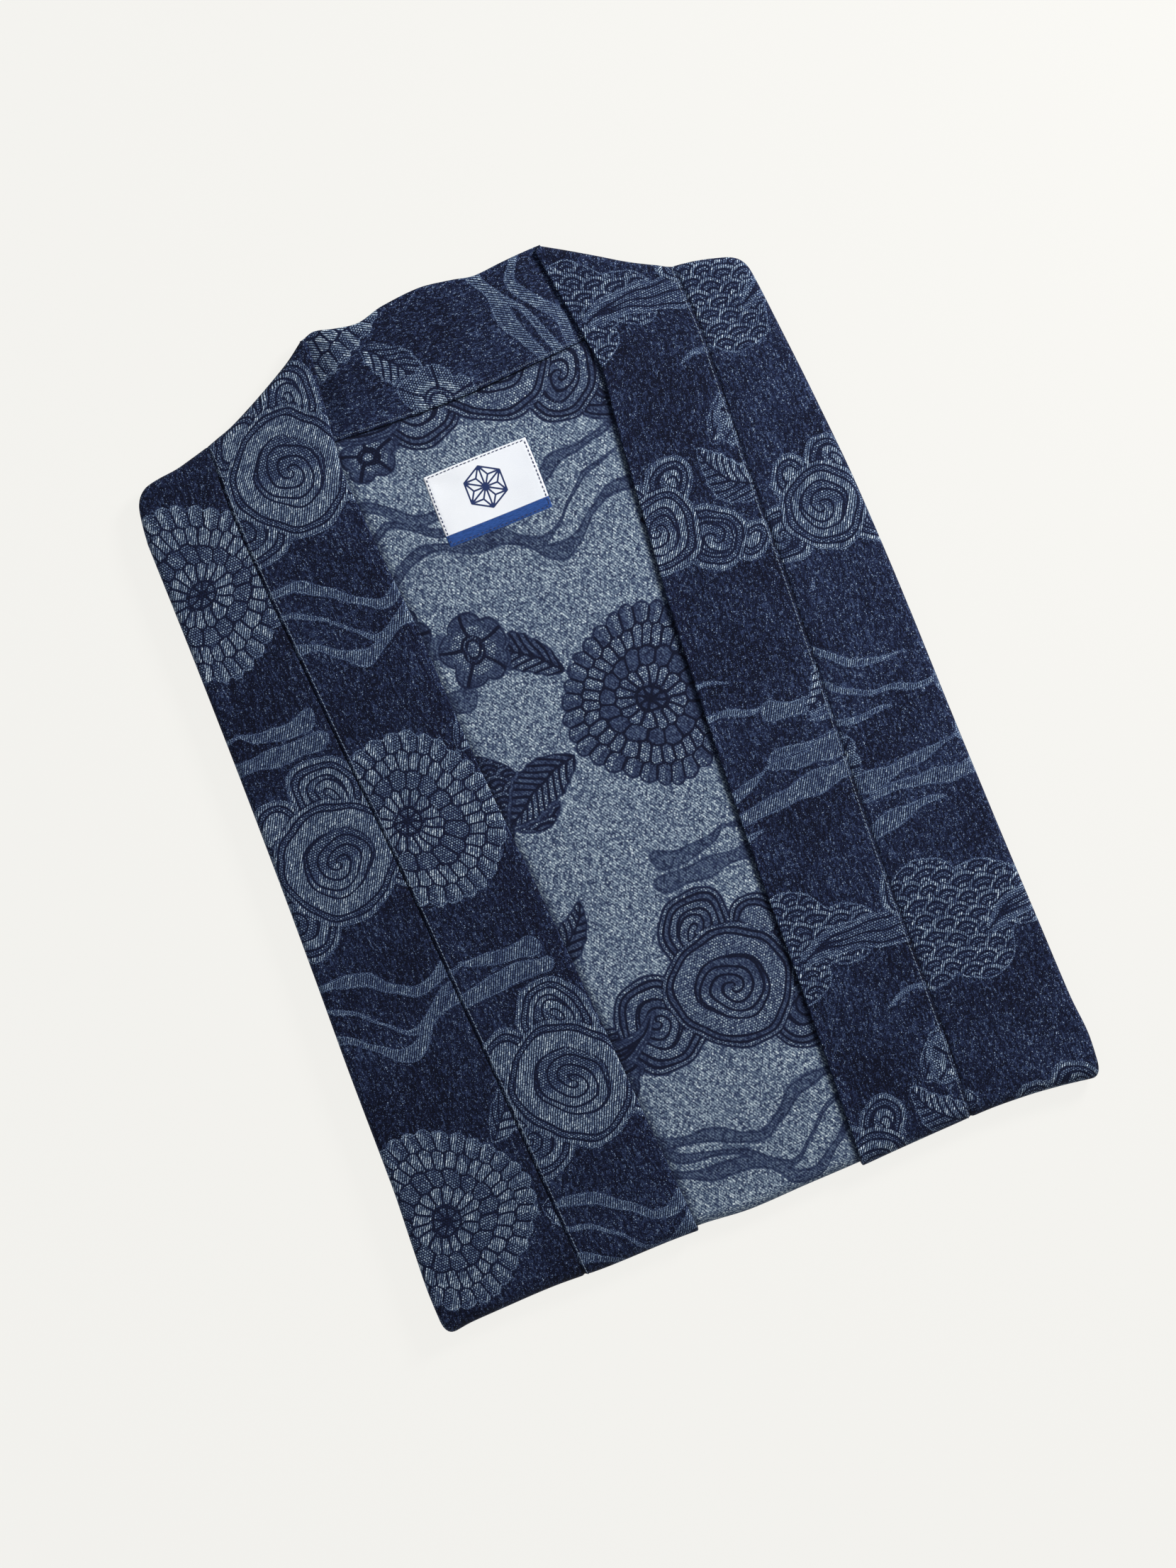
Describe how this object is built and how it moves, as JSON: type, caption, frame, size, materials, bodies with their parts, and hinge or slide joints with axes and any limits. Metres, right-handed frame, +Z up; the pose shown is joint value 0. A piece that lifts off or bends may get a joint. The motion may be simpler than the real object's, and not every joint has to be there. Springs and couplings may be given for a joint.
{
  "type": "kimono jacket",
  "caption": "Open-fronted denim kimono jacket with a wide collar band, folded flat face up with its sides, sleeves and lower part turned behind.",
  "frame": {"origin": "on the surface the folded jacket lies on, below the middle of its outline", "axes": "+X to the viewer's right across the package, +Y from the bottom fold towards the collar, +Z up out of the surface"},
  "size_m": [0.3928, 0.5461, 0.0178],
  "materials": {
    "denim_face": "matt cotton jacquard, dark indigo face",
    "denim_reverse": "matt cotton jacquard, lighter grey-blue reverse",
    "woven_label": "smooth woven patch"
  },
  "bodies": {
    "root": {"back": "denim_reverse", "front_left": "denim_face", "front_right": "denim_face", "collar_left": "denim_face", "collar_right": "denim_face", "collar_neck": "denim_face", "label": "woven_label", "folded_layers": "denim_face"}
  },
  "joints": []
}
